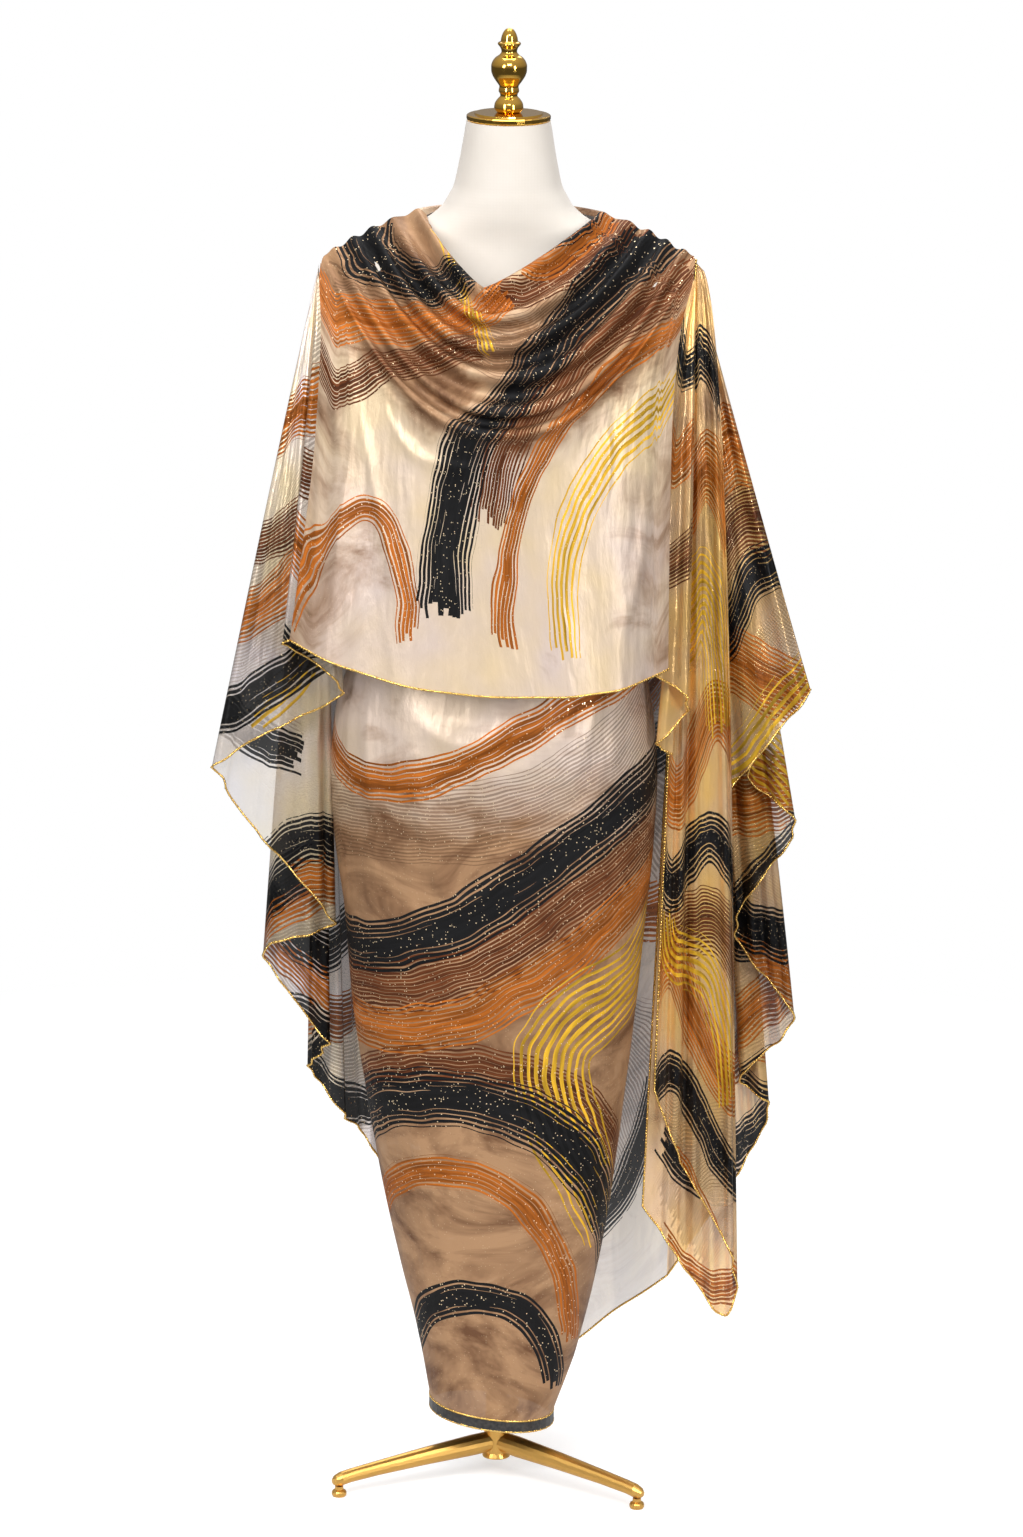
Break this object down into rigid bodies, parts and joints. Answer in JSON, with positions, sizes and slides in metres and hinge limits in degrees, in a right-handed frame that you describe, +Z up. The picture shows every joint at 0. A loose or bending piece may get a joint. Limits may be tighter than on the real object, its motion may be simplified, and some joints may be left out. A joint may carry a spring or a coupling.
{
  "type": "toub on a dress form",
  "caption": "Draped toub of sheer metallic cloth with a cowled front, side falls and a wrapped skirt, on a limbless dress form with a gold stand.",
  "frame": {"origin": "bottom centre of the whole object's box, on the surface that the feet stand on", "axes": "+Z up, the wearer faces -Y, the wearer's right hand is at -X"},
  "size_m": [0.6768, 0.3798, 1.7],
  "materials": {
    "print_cloth": "sheer metallic weave, printed",
    "hem_border": "dense weave with gold edges",
    "linen": "matte woven cover over padding",
    "gold": "polished gold plate"
  },
  "bodies": {
    "root": {"skirt_wrap": "print_cloth", "front_drape": "print_cloth", "left_fall": "print_cloth", "right_turn": "print_cloth", "right_loose_end": "print_cloth", "right_fall": "print_cloth", "back_drape": "print_cloth", "skirt_hem_band": "hem_border", "form_torso": "linen", "form_neck_cap": "gold", "form_finial": "gold", "form_pole": "gold", "base_hub": "gold", "base_leg_1": "gold", "base_leg_2": "gold", "base_leg_3": "gold", "base_foot_1": "gold", "base_foot_2": "gold", "base_foot_3": "gold"}
  },
  "joints": []
}
